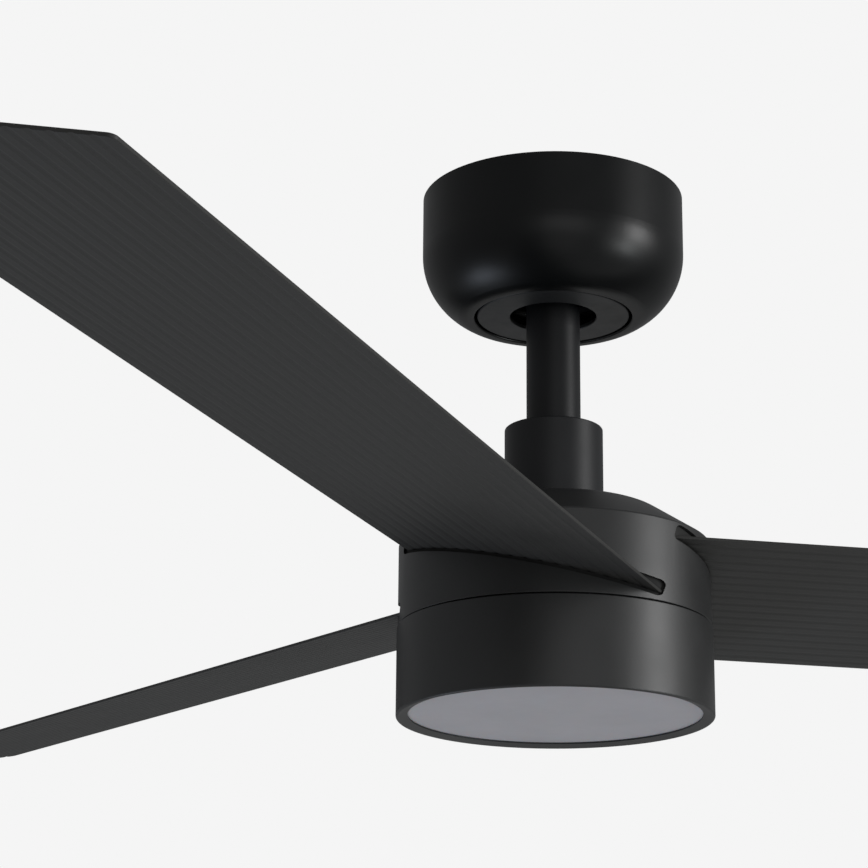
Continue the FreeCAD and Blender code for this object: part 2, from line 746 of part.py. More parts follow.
def slot_seal_solids():
    """Foam strips just inside the hub's wall, which close each slot around its blade."""
    outer = size("hub_radius - hub_wall - seal_gap")
    low, high = -size("hub_rim_depth"), -size("hub_shoulder_depth + hub_wall")
    ring = Part.makeCylinder(outer, high - low, Vector(0, 0, low))
    ring = ring.cut(Part.makeCylinder(outer - size("seal_thickness"), high - low, Vector(0, 0, low)))
    margin, half_chord, half = size("seal_margin"), size("blade_chord / 2"), size("blade_thickness / 2")
    corner = Vector(0, -size("slot_trail_end") - margin, -size("slot_below_blade") - margin)
    window = Part.makeBox(outer, size("slot_trail_end + slot_lead_end") + 2 * margin,
                          size("slot_below_blade + slot_above_blade") + 2 * margin, corner)
    blade = Part.makeBox(2 * outer, 2 * half_chord, 2 * half,
                         Vector(0, size("blade_chord_shift") - half_chord, -half))
    solids = []
    for index in BLADES:
        level = Placement(Vector(0, 0, -size("blade_plane_depth")), blade_azimuth(index).multiply(PITCH))
        strip = ring.common(placed(window, level))
        solids.append(strip.cut(placed(blade, blade_placement(index))))
    return solids


def make_can():
    """Rotor can: top plate with a bearing boss, a wall that holds the magnets, and an outer flange."""
    made = body("rotor_can")
    plate = "-can_top_depth - can_plate"
    turn(made, [("bearing_radius", "-can_top_depth"), ("can_flange_radius", "-can_top_depth"),
                ("can_flange_radius", plate), ("can_radius", plate), ("can_radius", "-can_end_depth"),
                ("can_radius - can_wall", "-can_end_depth"), ("can_radius - can_wall", plate),
                ("boss_outer_radius", plate), ("boss_outer_radius", "-upper_bearing_depth - bearing_height"),
                ("bearing_radius", "-upper_bearing_depth - bearing_height")])
    holes = sketch_on(made, "XY_Plane")
    circle(holes, "hub_boss_circle", 0, "fixing_hole_radius")
    circle(holes, "carrier_screw_circle", 0, "small_hole_radius")
    pocket = extrude(made, holes, "can_top_depth + can_plate * 2", cut=True)
    around(made, [pocket], 3)
    foot = level_sketch(made, "can_end_depth")
    circle(foot, "can_radius - can_wall / 2", 0, "rotor_screw_radius")
    pocket = extrude(made, foot, "rotor_screw_depth", cut=True, back=True)
    around(made, [pocket], "rotor_screw_count")
    made.Placement = ROTOR_TURN


def make_rotor_cover():
    """Lower end plate of the rotor with the lower bearing boss."""
    made = body("rotor_cover")
    low = "-can_end_depth - can_plate"
    boss_top = "-lower_bearing_depth"
    turn(made, [("bearing_radius", boss_top), ("boss_outer_radius", boss_top),
                ("boss_outer_radius", "-can_end_depth"), ("can_radius", "-can_end_depth"),
                ("can_radius", low), ("bearing_radius", low)])
    holes = sketch_on(made, "XY_Plane")
    circle(holes, "can_radius - can_wall / 2", 0, "rotor_screw_radius")
    pocket = extrude(made, holes, "can_end_depth + can_plate * 2", cut=True)
    around(made, [pocket], "rotor_screw_count")
    made.Placement = ROTOR_TURN


def race_solids(inner, outer):
    """Both bearings' races between two radii, with a rounded ball track."""
    solids = []
    half = size("bearing_height") / 2
    middle = (size("inner_race_radius") + size("outer_race_radius")) / 2
    for top in ("upper_bearing_depth", "lower_bearing_depth"):
        centre = -size(top) - half
        ring = Part.makeCylinder(outer, 2 * half, Vector(0, 0, centre - half))
        ring = ring.cut(Part.makeCylinder(inner, 2 * half, Vector(0, 0, centre - half)))
        track = Part.makeTorus(middle, size("ball_bearing_track"), Vector(0, 0, centre))
        solids.append(ring.cut(track))
    return solids


def ball_solids():
    """The balls of both bearings."""
    ball = size("ball_bearing_radius")
    middle = (size("inner_race_radius") + size("outer_race_radius")) / 2
    half = size("bearing_height") / 2
    solids = []
    for top in ("upper_bearing_depth", "lower_bearing_depth"):
        for place in circle_places(middle, size(top) + half, int(size("ball_bearing_count"))):
            solids.append(placed(Part.makeSphere(ball), place))
    return solids


def magnet_solids():
    """Arc magnets inside the rotor can."""
    count = int(size("magnet_poles"))
    height = size("magnet_end_depth") - size("magnet_top_depth")
    inner, outer = size("magnet_inner_radius"), size("can_radius - can_wall")
    span = 360 / count - size("magnet_gap_angle")
    base = Vector(0, 0, -size("magnet_end_depth"))
    arc = Part.makeCylinder(outer, height, base, UP, span)
    arc = arc.cut(Part.makeCylinder(inner, height, base, UP, 360))
    return [placed(arc, Placement(Vector(), Rotation(UP, index * 360 / count))) for index in range(count)]


def stator_solid():
    """Laminated stator: a hub with straight teeth that end in curved shoes."""
    height = size("stator_end_depth - stator_top_depth")
    base = Vector(0, 0, -size("stator_end_depth"))
    core = Part.makeCylinder(size("stator_hub_radius"), height, base)
    width, tip = size("tooth_width"), size("tooth_tip")
    reach = size("stator_radius")
    disc = Part.makeCylinder(reach, height, base)
    inner_disc = Part.makeCylinder(reach - tip, height, base)
    tooth = Part.makeBox(reach - tip, width, height, base - Vector(0, width / 2, 0))
    shoe_width = size("tooth_tip_width")
    shoe = Part.makeBox(reach, shoe_width, height, base - Vector(0, shoe_width / 2, 0))
    shoe = shoe.common(disc).cut(inner_disc)
    for index in range(int(size("stator_teeth"))):
        turned = Placement(Vector(), Rotation(UP, index * 360 / size("stator_teeth")))
        core = core.fuse([placed(tooth, turned), placed(shoe, turned)])
    bore = Part.makeCylinder(size("shaft_radius"), height, base)
    return core.cut(bore).removeSplitter()


def coil_solids():
    """One wound coil around each stator tooth."""
    height = size("stator_end_depth - stator_top_depth + 2 * coil_overhang")
    low = -size("stator_end_depth + coil_overhang")
    tooth = size("tooth_width")
    build = size("coil_build")
    start = size("coil_start_radius")
    length = size("coil_end_radius") - start
    outer = Part.makeBox(length, tooth + 2 * build, height, Vector(start, -tooth / 2 - build, low))
    long_edges = [edge for edge in outer.Edges if edge.BoundBox.XLength > length / 2]
    outer = outer.makeFillet(size("coil_round"), long_edges)
    core = Part.makeBox(length, tooth, height - 2 * size("coil_overhang"),
                        Vector(start, -tooth / 2, low + size("coil_overhang")))
    coil = outer.cut(core)
    count = int(size("stator_teeth"))
    return [placed(coil, Placement(Vector(), Rotation(UP, index * 360 / count))) for index in range(count)]


# ------------------------------------------------------------------------------------ the blades

def make_blade(index, name):
    """Straight flat blade: square tip with small corners, ribs underneath, root cut round the motor."""
    made = body(name)
    plan = sketch_on(made, "XY_Plane")
    lead, trail = "blade_chord_shift + blade_chord / 2", "blade_chord_shift - blade_chord / 2"
    tip_corner = "sweep_radius - blade_corner"
    outline(plan, [("blade_root", trail), (tip_corner, trail, "blade_corner", 1),
                   ("sweep_radius", f"{trail} + blade_corner"),
                   ("sweep_radius", f"{lead} - blade_corner", "blade_corner", 1),
                   (tip_corner, lead), ("blade_root", lead)])
    extrude(made, plan, "blade_thickness", middle=True)
    beyond = size("blade_root_arc")
    round_edges(made, "blade_edge_round",
                lambda edge: edge.BoundBox.ZLength < 1e-6 and edge.BoundBox.XMax > beyond)
    root = sketch_on(made, "XY_Plane")
    circle(root, 0, 0, "blade_root_arc")
    extrude(made, root, "blade_thickness * 3", cut=True, middle=True)
    screws = sketch_on(made, "XY_Plane")
    for row in screw_rows():
        circle(screws, "blade_screw_reach", row, "fixing_hole_radius")
    extrude(made, screws, "blade_thickness * 3", cut=True, middle=True)
    groove = sketch_on(made, "YZ_Plane")
    first = "(blade_chord_shift - groove_spacing * (groove_count - 1) / 2)"
    foot = "-blade_thickness / 2"
    outline(groove, [(f"{first} - groove_width / 2", foot), (f"{first} + groove_width / 2", foot),
                     (f"{first} + groove_floor / 2", f"{foot} + groove_height"),
                     (f"{first} - groove_floor / 2", f"{foot} + groove_height")])
    before = size_of(made)
    pocket = extrude(made, groove, "sweep_radius * 1.1", cut=True, back=True)
    pattern = made.newObject("PartDesign::LinearPattern", name + "_ribs")
    pattern.Originals = [pocket]
    pattern.Direction = (groove, ["H_Axis"])
    bind(pattern, "Length", "groove_spacing * (groove_count - 1)")
    bind(pattern, "Occurrences", "groove_count")
    made.Tip = pattern
    if size_of(made) >= before:
        raise RuntimeError(name + ": the ribs were not cut")
    made.Placement = blade_placement(index)


def size_of(owner):
    """The body's volume once everything is up to date."""
    doc.recompute()
    return owner.Shape.Volume


def make_carrier():
    """Cast carrier: a ring on the rotor can with one inclined pad for each blade."""
    made = body("blade_carrier")
    flange = "-can_top_depth - can_plate"
    turn(made, [("can_radius", flange), ("carrier_ring_radius", flange),
                ("carrier_ring_radius", "-carrier_ring_depth"), ("can_radius", "-carrier_ring_depth")])
    tilt = DROOP.multiply(PITCH)
    lift = tilt.multVec(UP * size("blade_thickness / 2 + gasket_thickness"))
    pad_sketch = sketch_on(made, "XY_Plane", Placement(lift - UP * size("blade_plane_depth"), tilt))
    low, high = "blade_chord_shift - pad_half_width", "blade_chord_shift + pad_half_width"
    outline(pad_sketch, [("pad_inner", low), ("pad_outer", low), ("pad_outer", high), ("pad_inner", high)])
    for row in screw_rows():
        circle(pad_sketch, "blade_screw_reach", row, "fixing_hole_radius")
    pad = extrude(made, pad_sketch, "pad_thickness")
    around(made, [pad], "blade_count")
    holes = level_sketch(made, "can_top_depth")
    circle(holes, "carrier_screw_circle", 0, "small_hole_radius")
    pocket = extrude(made, holes, "can_plate + carrier_screw_grip * 1.5", cut=True)
    around(made, [pocket], 3)
    made.Placement = ROTOR_TURN


def blade_hardware():
    """Screws, washers and gaskets of all three blades, each kind in one group."""
    screws, washers, gaskets = [], [], []
    hole, rise, half = size("fixing_hole_radius"), size("washer_height"), size("blade_thickness / 2")
    one_screw = fixing_screw(size("blade_thickness + gasket_thickness + pad_thickness") + rise)
    ring = Part.makeCylinder(size("washer_radius"), rise).cut(Part.makeCylinder(hole, rise))
    width, start = size("2 * pad_half_width"), size("blade_root_arc + gasket_inset")
    strip = Part.makeBox(size("pad_outer") - start, width, size("gasket_thickness"),
                         Vector(start, size("blade_chord_shift") - width / 2, half))
    spots = [Vector(size("blade_screw_reach"), size(row), -half - rise) for row in screw_rows()]
    for spot in spots:
        strip = strip.cut(Part.makeCylinder(hole, size("pad_thickness * 3"), spot))
    for index in BLADES:
        frame = blade_placement(index)
        gaskets.append(placed(strip, frame))
        for spot in spots:
            seat = frame.multiply(Placement(spot, Rotation()))
            washers.append(placed(ring, seat))
            screws.append(placed(one_screw, seat))
    group("blade_screws", screws)
    group("blade_washers", washers)
    group("blade_gaskets", gaskets)


# --------------------------------------------------------------------------------- the light kit

def make_mount_plate():
    """Round plate clamped on the shaft's foot, which carries the light housing."""
    made = body("light_mount_plate")
    turn(made, [("shaft_thread_radius", "-shaft_shoulder_depth"),
                ("mount_plate_radius", "-shaft_shoulder_depth"),
                ("mount_plate_radius", "-light_top_depth"), ("shaft_thread_radius", "-light_top_depth")])
    holes = sketch_on(made, "XY_Plane")
    circle(holes, "light_screw_circle", 0, "fixing_hole_radius")
    pocket = extrude(made, holes, "light_top_depth + cut_past", cut=True)
    around(made, [pocket], 3)


def make_housing():
    """Light housing: closed top, straight wall, and a lip, dished inward, that holds the diffuser."""
    made = body("light_housing")
    inner, under = "light_radius - light_wall", "-light_top_depth - light_wall"
    turn(made, [("light_hole_radius", "-light_top_depth"), ("light_radius", "-light_top_depth"),
                ("light_radius", "-light_end_depth"), ("lip_radius", "-light_end_depth + lip_rise"),
                ("lip_radius", "-light_end_depth + lip_height"), (inner, "-light_end_depth + lip_height"),
                (inner, under), ("light_hole_radius", under)])
    round_edges(made, "light_foot_round", ring_edge("light_radius", "-light_end_depth"))
    round_edges(made, "light_top_round", ring_edge("light_radius", "-light_top_depth"))
    holes = sketch_on(made, "XY_Plane")
    circle(holes, "light_screw_circle", 0, "fixing_hole_radius")
    pocket = extrude(made, holes, "light_top_depth + cut_past", cut=True)
    around(made, [pocket], 3)


def make_tray():
    """Tray that carries the LED board and presses the diffuser down on the lip."""
    made = body("led_tray")
    outer = "light_radius - light_wall - tray_gap"
    foot = "-light_end_depth + lip_height + diffuser_thickness"
    under = "-tray_top_depth - tray_sheet"
    turn(made, [(0, "-tray_top_depth"), (outer, "-tray_top_depth"), (outer, foot),
                (f"{outer} - tray_rim", foot), (f"{outer} - tray_rim", under), (0, under)])
    holes = sketch_on(made, "XY_Plane")
    circle(holes, "tray_post_circle", 0, "small_hole_radius")
    pocket = extrude(made, holes, "tray_top_depth + tray_sheet * 2", cut=True)
    around(made, [pocket], 3)


def make_board():
    """Round LED board with holes for the tray's screws."""
    made = body("led_board")
    top = "(tray_top_depth + tray_sheet)"
    turn(made, [(0, f"-{top}"), ("board_radius", f"-{top}"), ("board_radius", f"-{top} - board_thickness"),
                (0, f"-{top} - board_thickness")])
    holes = sketch_on(made, "XY_Plane")
    circle(holes, "tray_post_circle", 0, "small_hole_radius")
    pocket = extrude(made, holes, f"{top} + board_thickness * 2", cut=True)
    around(made, [pocket], 3)


def chip_solids():
    """Rings of LED chips under the board."""
    length, width, height = size("chip_length"), size("chip_width"), size("chip_height")
    top = size("tray_top_depth + tray_sheet + board_thickness")
    chip = Part.makeBox(length, width, height, Vector(-length / 2, -width / 2, -height))
    solids = []
    for radius, count in CHIP_RINGS:
        places = circle_places(radius, top, count, first=size("chip_turn"))
        solids += [placed(chip, place) for place in places]
    return solids


# --------------------------------------------------------------------------------- make them all

def make_ceiling_parts():
    """Everything that is fixed to the ceiling."""
    make_ceiling_plate()
    make_hanger_bracket()
    box_body("receiver_box", "receiver_half_length", "receiver_start", "receiver_end", "bracket_sheet",
             "receiver_height", "box_round")
    edge = "-bracket_width / 2"
    box_body("terminal_block", "terminal_half_length", f"{edge} - terminal_width", edge,
             "terminal_top_depth", "terminal_height", "terminal_round")
    sheet_height = size("bracket_sheet")
    spot = Vector(-size("earth_screw_x"), size("earth_screw_y"), -sheet_height)
    group("earth_screw", [placed(fixing_screw(sheet_height), Placement(spot, Rotation()))])
    make_canopy()
    seat = size("ledge_depth + canopy_sheet")
    one = fixing_screw(size("canopy_sheet + bracket_sheet * 2"))
    places = circle_places(size("canopy_screw_circle"), seat, 2)
    group("canopy_screws", [placed(one, place) for place in places])
    make_insert()
    disc = Part.makeCylinder(size("magnet_radius"), size("magnet_thickness"))
    places = circle_places(size("magnet_circle"), seat + size("magnet_thickness"), 3, first=90)
    group("insert_magnets", [placed(disc, place) for place in places])


def coupling_fasteners():
    """The bolt and nut through the coupling and the rod, and two set screws between them."""
    across = Rotation(Vector(0, 1, 0), 90)
    radius, shank = size("coupling_radius"), size("bolt_radius")
    bolt = screw(shank, 2 * radius + 2 * shank, size("bolt_head_radius"), size("bolt_head_height"))
    seat = Vector(-radius, 0, -size("bolt_depth"))
    group("coupling_bolt", [placed(bolt, Placement(seat, across))])
    nut_seat = Vector(radius, 0, -size("bolt_depth"))
    make_nut("coupling_nut", size("bolt_nut_across"), shank, size("bolt_nut_height"),
             Placement(nut_seat, across))
    gap = size("coupling_radius - rod_radius")
    socket = Part.makeCylinder(size("set_screw_socket"), gap / 2, Vector(0, 0, gap / 2))
    stud = Part.makeCylinder(size("set_screw_radius"), gap).cut(socket)
    studs = []
    for turned in (Rotation(Vector(1, 0, 0), 90), Rotation(Vector(1, 0, 0), -90)):
        spot = turned.multVec(UP * size("rod_radius")) - UP * size("set_screw_depth")
        studs.append(placed(stud, Placement(spot, turned)))
    group("set_screws", studs)


def make_hanging_parts():
    """Everything that hangs from the ball and doesn't turn."""
    make_liner()
    make_ball()
    make_pin()
    make_rod()
    length = size("wire_end_depth - wire_top_depth")
    wires = []
    for side in (1, -1):
        base = Vector(0, side * size("wire_offset"), -size("wire_end_depth"))
        wires.append(Part.makeCylinder(size("wire_radius"), length, base))
    group("rod_wires", wires)
    make_cover()
    make_coupling()
    coupling_fasteners()
    make_shaft()
    group("stator_core", [stator_solid()])
    group("stator_windings", coil_solids())
    group("bearing_inner_races", race_solids(size("shaft_radius"), size("inner_race_radius")))


def make_turning_parts():
    """Everything that turns with the blades."""
    first = size("blade_azimuth")
    make_hub()
    group("slot_seals", slot_seal_solids())
    make_can()
    make_rotor_cover()
    cover_screw = screw(size("rotor_screw_radius"), size("can_plate + rotor_screw_depth * 0.9"),
                        size("rotor_screw_head"), size("rotor_screw_head_height"))
    places = circle_places(size("can_radius - can_wall / 2"), size("can_end_depth + can_plate"),
                           int(size("rotor_screw_count")), first=first)
    group("rotor_screws", [placed(cover_screw, place) for place in places])
    group("rotor_magnets", magnet_solids())
    group("bearing_outer_races", race_solids(size("outer_race_radius"), size("bearing_radius")))
    group("bearing_balls", ball_solids())
    hub_screw = fixing_screw(size("can_plate + hub_screw_grip"))
    places = circle_places(size("hub_boss_circle"), size("can_top_depth + can_plate"), 3, first=first)
    group("hub_screws", [placed(hub_screw, place) for place in places])
    make_carrier()
    carrier_screw = small_screw(size("can_plate + carrier_screw_grip"))
    places = circle_places(size("carrier_screw_circle"), size("can_top_depth"), 3, first=first,
                           turned=FLIPPED)
    group("carrier_screws", [placed(carrier_screw, place) for place in places])
    for index, name in zip(BLADES, ("blade_one", "blade_two", "blade_three")):
        make_blade(index, name)
    blade_hardware()


def make_light_parts():
    """The light kit, from its mounting plate to the diffuser."""
    make_mount_plate()
    nut_height = size("shaft_nut_height")
    nut_place = Placement(UP * -(size("light_top_depth") + nut_height), Rotation())
    make_nut("shaft_nut", size("shaft_nut_across"), size("shaft_thread_radius"), nut_height, nut_place)
    make_housing()
    under = "light_top_depth + light_wall"
    places = circle_places(size("light_screw_circle"), size(under), 3)
    light_screw = fixing_screw(size("light_screw_length"))
    group("light_screws", [placed(light_screw, place) for place in places])
    box_body("led_driver", "driver_half_length", "driver_start", "driver_end", under, "driver_height",
             "box_round")
    box_body("motor_controller", "driver_half_length", "-driver_end", "-driver_start", under,
             "controller_height", "box_round")
    thread = Part.makeCylinder(size("small_hole_radius"), size("tray_post_thread"))
    post = Part.makeCylinder(size("tray_post_radius"), size(f"tray_top_depth - ({under})")).cut(thread)
    places = circle_places(size("tray_post_circle"), size("tray_top_depth"), 3)
    group("tray_posts", [placed(post, place) for place in places])
    make_tray()
    make_board()
    tray_screw = small_screw(size("tray_sheet + board_thickness + tray_screw_grip"))
    bottom = size("tray_top_depth + tray_sheet + board_thickness")
    places = circle_places(size("tray_post_circle"), bottom, 3)
    group("tray_screws", [placed(tray_screw, place) for place in places])
    group("led_chips", chip_solids())
    tube("diffuser", "light_radius - light_wall - diffuser_gap", 0,
         "light_end_depth - lip_height - diffuser_thickness", "light_end_depth - lip_height")


def write_nodes():
    """Checks every object of the document and writes each node's solids."""
    doc.recompute()
    failed = [item.Name for item in doc.Objects if {"Invalid", "Error"} & set(item.State)]
    for node in NODES:
        if node.Shape.isNull() or not node.Shape.isValid() or not node.Shape.Solids:
            failed.append(node.Label)
    if failed:
        raise RuntimeError("not built: " + ", ".join(failed))
    os.makedirs("parts", exist_ok=True)
    for node in NODES:
        node.Shape.exportStep(os.path.join("parts", node.Label + ".step"))
        print(f"{node.Label}: {len(node.Shape.Solids)} solid(s), {node.Shape.Volume / 1000:.2f} cm3")


make_ceiling_parts()
make_hanging_parts()
make_turning_parts()
make_light_parts()
write_nodes()
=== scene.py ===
import math

import bpy
from mathutils import Matrix, Vector

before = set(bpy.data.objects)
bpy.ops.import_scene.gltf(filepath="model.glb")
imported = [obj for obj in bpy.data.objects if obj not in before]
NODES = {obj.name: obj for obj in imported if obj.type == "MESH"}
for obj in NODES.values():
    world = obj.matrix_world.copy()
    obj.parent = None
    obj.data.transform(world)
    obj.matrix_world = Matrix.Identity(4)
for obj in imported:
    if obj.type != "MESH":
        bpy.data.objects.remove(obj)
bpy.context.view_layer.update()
MICRON = 0.000001
WAVE_RATE = 20.0  # the wave texture's phase, in radians, for each unit of scale and of length


# ---------------------------------------------------------------- materials

class Graph:
    """A material's node tree, with one call for each kind of node that is used here.

    Textures are laid out in object space, so every length in them is in metres.
    """

    def __init__(self, name):
        self.material = bpy.data.materials.new(name)
        self.material.use_nodes = True
        self.tree = self.material.node_tree
        self.shader = self.tree.nodes["Principled BSDF"]
        coordinate = self.tree.nodes.new("ShaderNodeTexCoord")
        self.point = coordinate.outputs["Object"]

    def node(self, kind, **values):
        made = self.tree.nodes.new(kind)
        for key, value in values.items():
            if hasattr(made, key):
                setattr(made, key, value)
            else:
                made.inputs[key.replace("_", " ")].default_value = value
        return made

    def link(self, source, target):
        self.tree.links.new(source, target)

    def stretched(self, scale):
        mapping = self.node("ShaderNodeMapping")
        mapping.inputs["Scale"].default_value = scale
        self.link(self.point, mapping.inputs["Vector"])
        return mapping.outputs["Vector"]

    def noise(self, scale, detail=2.0, roughness=0.5, point=None):
        made = self.node("ShaderNodeTexNoise", Scale=scale, Detail=detail, Roughness=roughness)
        self.link(point or self.point, made.inputs["Vector"])
        return made.outputs["Fac"]

    def cells(self, scale):
        made = self.node("ShaderNodeTexVoronoi", Scale=scale)
        self.link(self.point, made.inputs["Vector"])
        return made.outputs["Distance"]

    def ramp(self, factor, low, high, start=0.3, end=0.7):
        made = self.node("ShaderNodeValToRGB")
        first, last = made.color_ramp.elements
        first.position, last.position = start, end
        first.color, last.color = (*low, 1.0), (*high, 1.0)
        self.link(factor, made.inputs["Fac"])
        return made.outputs["Color"]

    def span(self, factor, low, high, start=0.3, end=0.7):
        made = self.node("ShaderNodeMapRange")
        for name, value in (("From Min", start), ("From Max", end), ("To Min", low), ("To Max", high)):
            made.inputs[name].default_value = value
        self.link(factor, made.inputs["Value"])
        return made.outputs["Result"]

    def math(self, operation, first, second):
        made = self.node("ShaderNodeMath", operation=operation)
        for socket, value in zip(made.inputs, (first, second)):
            if isinstance(value, (int, float)):
                socket.default_value = value
            else:
                self.link(value, socket)
        return made.outputs["Value"]

    def bump(self, *layers):
        """Adds bump layers, each a height socket and its depth in metres."""
        normal = None
        for height, depth in layers:
            made = self.node("ShaderNodeBump", Distance=depth, Strength=1.0)
            self.link(height, made.inputs["Height"])
            if normal:
                self.link(normal, made.inputs["Normal"])
            normal = made.outputs["Normal"]
        self.link(normal, self.shader.inputs["Normal"])

    def set(self, **values):
        for key, value in values.items():
            socket = self.shader.inputs[key.replace("_", " ")]
            if isinstance(value, bpy.types.NodeSocket):
                self.link(value, socket)
            else:
                socket.default_value = value


# Each builder takes the two ends of its colour, its roughness, the scale of its grain and the depth of
# its relief.

def paint(name, low, high, rough, grain, depth, specular=0.5):
    """A powder coat: fine texture in the film, slow drift in its colour and gloss."""
    g = Graph(name)
    drift = g.noise(28.0, 3.0)
    fine = g.noise(grain, 3.0, 0.6)
    pebbles = g.cells(grain * 0.6)
    tint = g.math("ADD", g.math("MULTIPLY", drift, 0.6), g.math("MULTIPLY", fine, 0.4))
    g.set(
        Base_Color=g.ramp(tint, low, high, 0.35, 0.65),
        Roughness=g.span(drift, rough - 0.03, rough + 0.03),
        Specular_IOR_Level=specular,
    )
    g.bump((fine, depth), (pebbles, depth * 0.7))
    return g.material


def plastic(name, low, high, rough, grain=1500.0, depth=12 * MICRON, specular=0.5, glow=0.0):
    """Moulded plastic: an even grain, a slow drift in colour, faint flow marks; glow lets light in."""
    g = Graph(name)
    drift = g.noise(22.0, 2.0)
    fine = g.noise(grain, 2.0, 0.55)
    flow = g.noise(90.0, 3.0, 0.6, g.stretched((1.0, 1.0, 0.25)))
    g.set(
        Base_Color=g.ramp(drift, low, high, 0.35, 0.65),
        Roughness=g.span(flow, rough - 0.04, rough + 0.04),
        Specular_IOR_Level=specular,
        Subsurface_Weight=glow,
        Subsurface_Scale=0.002,
    )
    g.bump((flow, depth * 0.8), (fine, depth))
    return g.material


def metal(name, low, high, rough, stretch=(1.0, 1.0, 12.0), grain=160.0, depth=10 * MICRON, spangle=0.0):
    """Bare or plated metal: polishing marks across the stretch, clouding and, on zinc, crystals."""
    g = Graph(name)
    marks = g.noise(grain, 4.0, 0.65, g.stretched(stretch))
    cloud = g.noise(40.0, 3.0)
    tone = cloud
    if spangle:
        tone = g.math("ADD", g.math("MULTIPLY", cloud, 0.5), g.math("MULTIPLY", g.cells(spangle), 0.7))
    g.set(
        Base_Color=g.ramp(tone, low, high, 0.25, 0.75),
        Metallic=1.0,
        Roughness=g.span(marks, rough - 0.08, rough + 0.08),
    )
    g.bump((marks, depth))
    return g.material


def lines(name, low, high, rough, kind, spacing, depth, metallic=0.0):
    """A surface built up of fine even lines: stacked sheets (BANDS) or wound wire (RINGS)."""
    g = Graph(name)
    scale = math.tau / WAVE_RATE / spacing
    wave = g.node("ShaderNodeTexWave", wave_type=kind, Scale=scale, Distortion=0.4)
    if kind == "BANDS":
        wave.bands_direction = "Z"
    else:
        wave.rings_direction = "Z"
    g.link(g.point, wave.inputs["Vector"])
    cloud = g.noise(120.0, 3.0)
    tone = g.math("ADD", g.math("MULTIPLY", wave.outputs["Fac"], 0.5), g.math("MULTIPLY", cloud, 0.5))
    g.set(
        Base_Color=g.ramp(tone, low, high, 0.2, 0.8),
        Metallic=metallic,
        Roughness=g.span(cloud, rough - 0.05, rough + 0.05),
    )
    g.bump((wave.outputs["Fac"], depth), (cloud, 6 * MICRON))
    return g.material


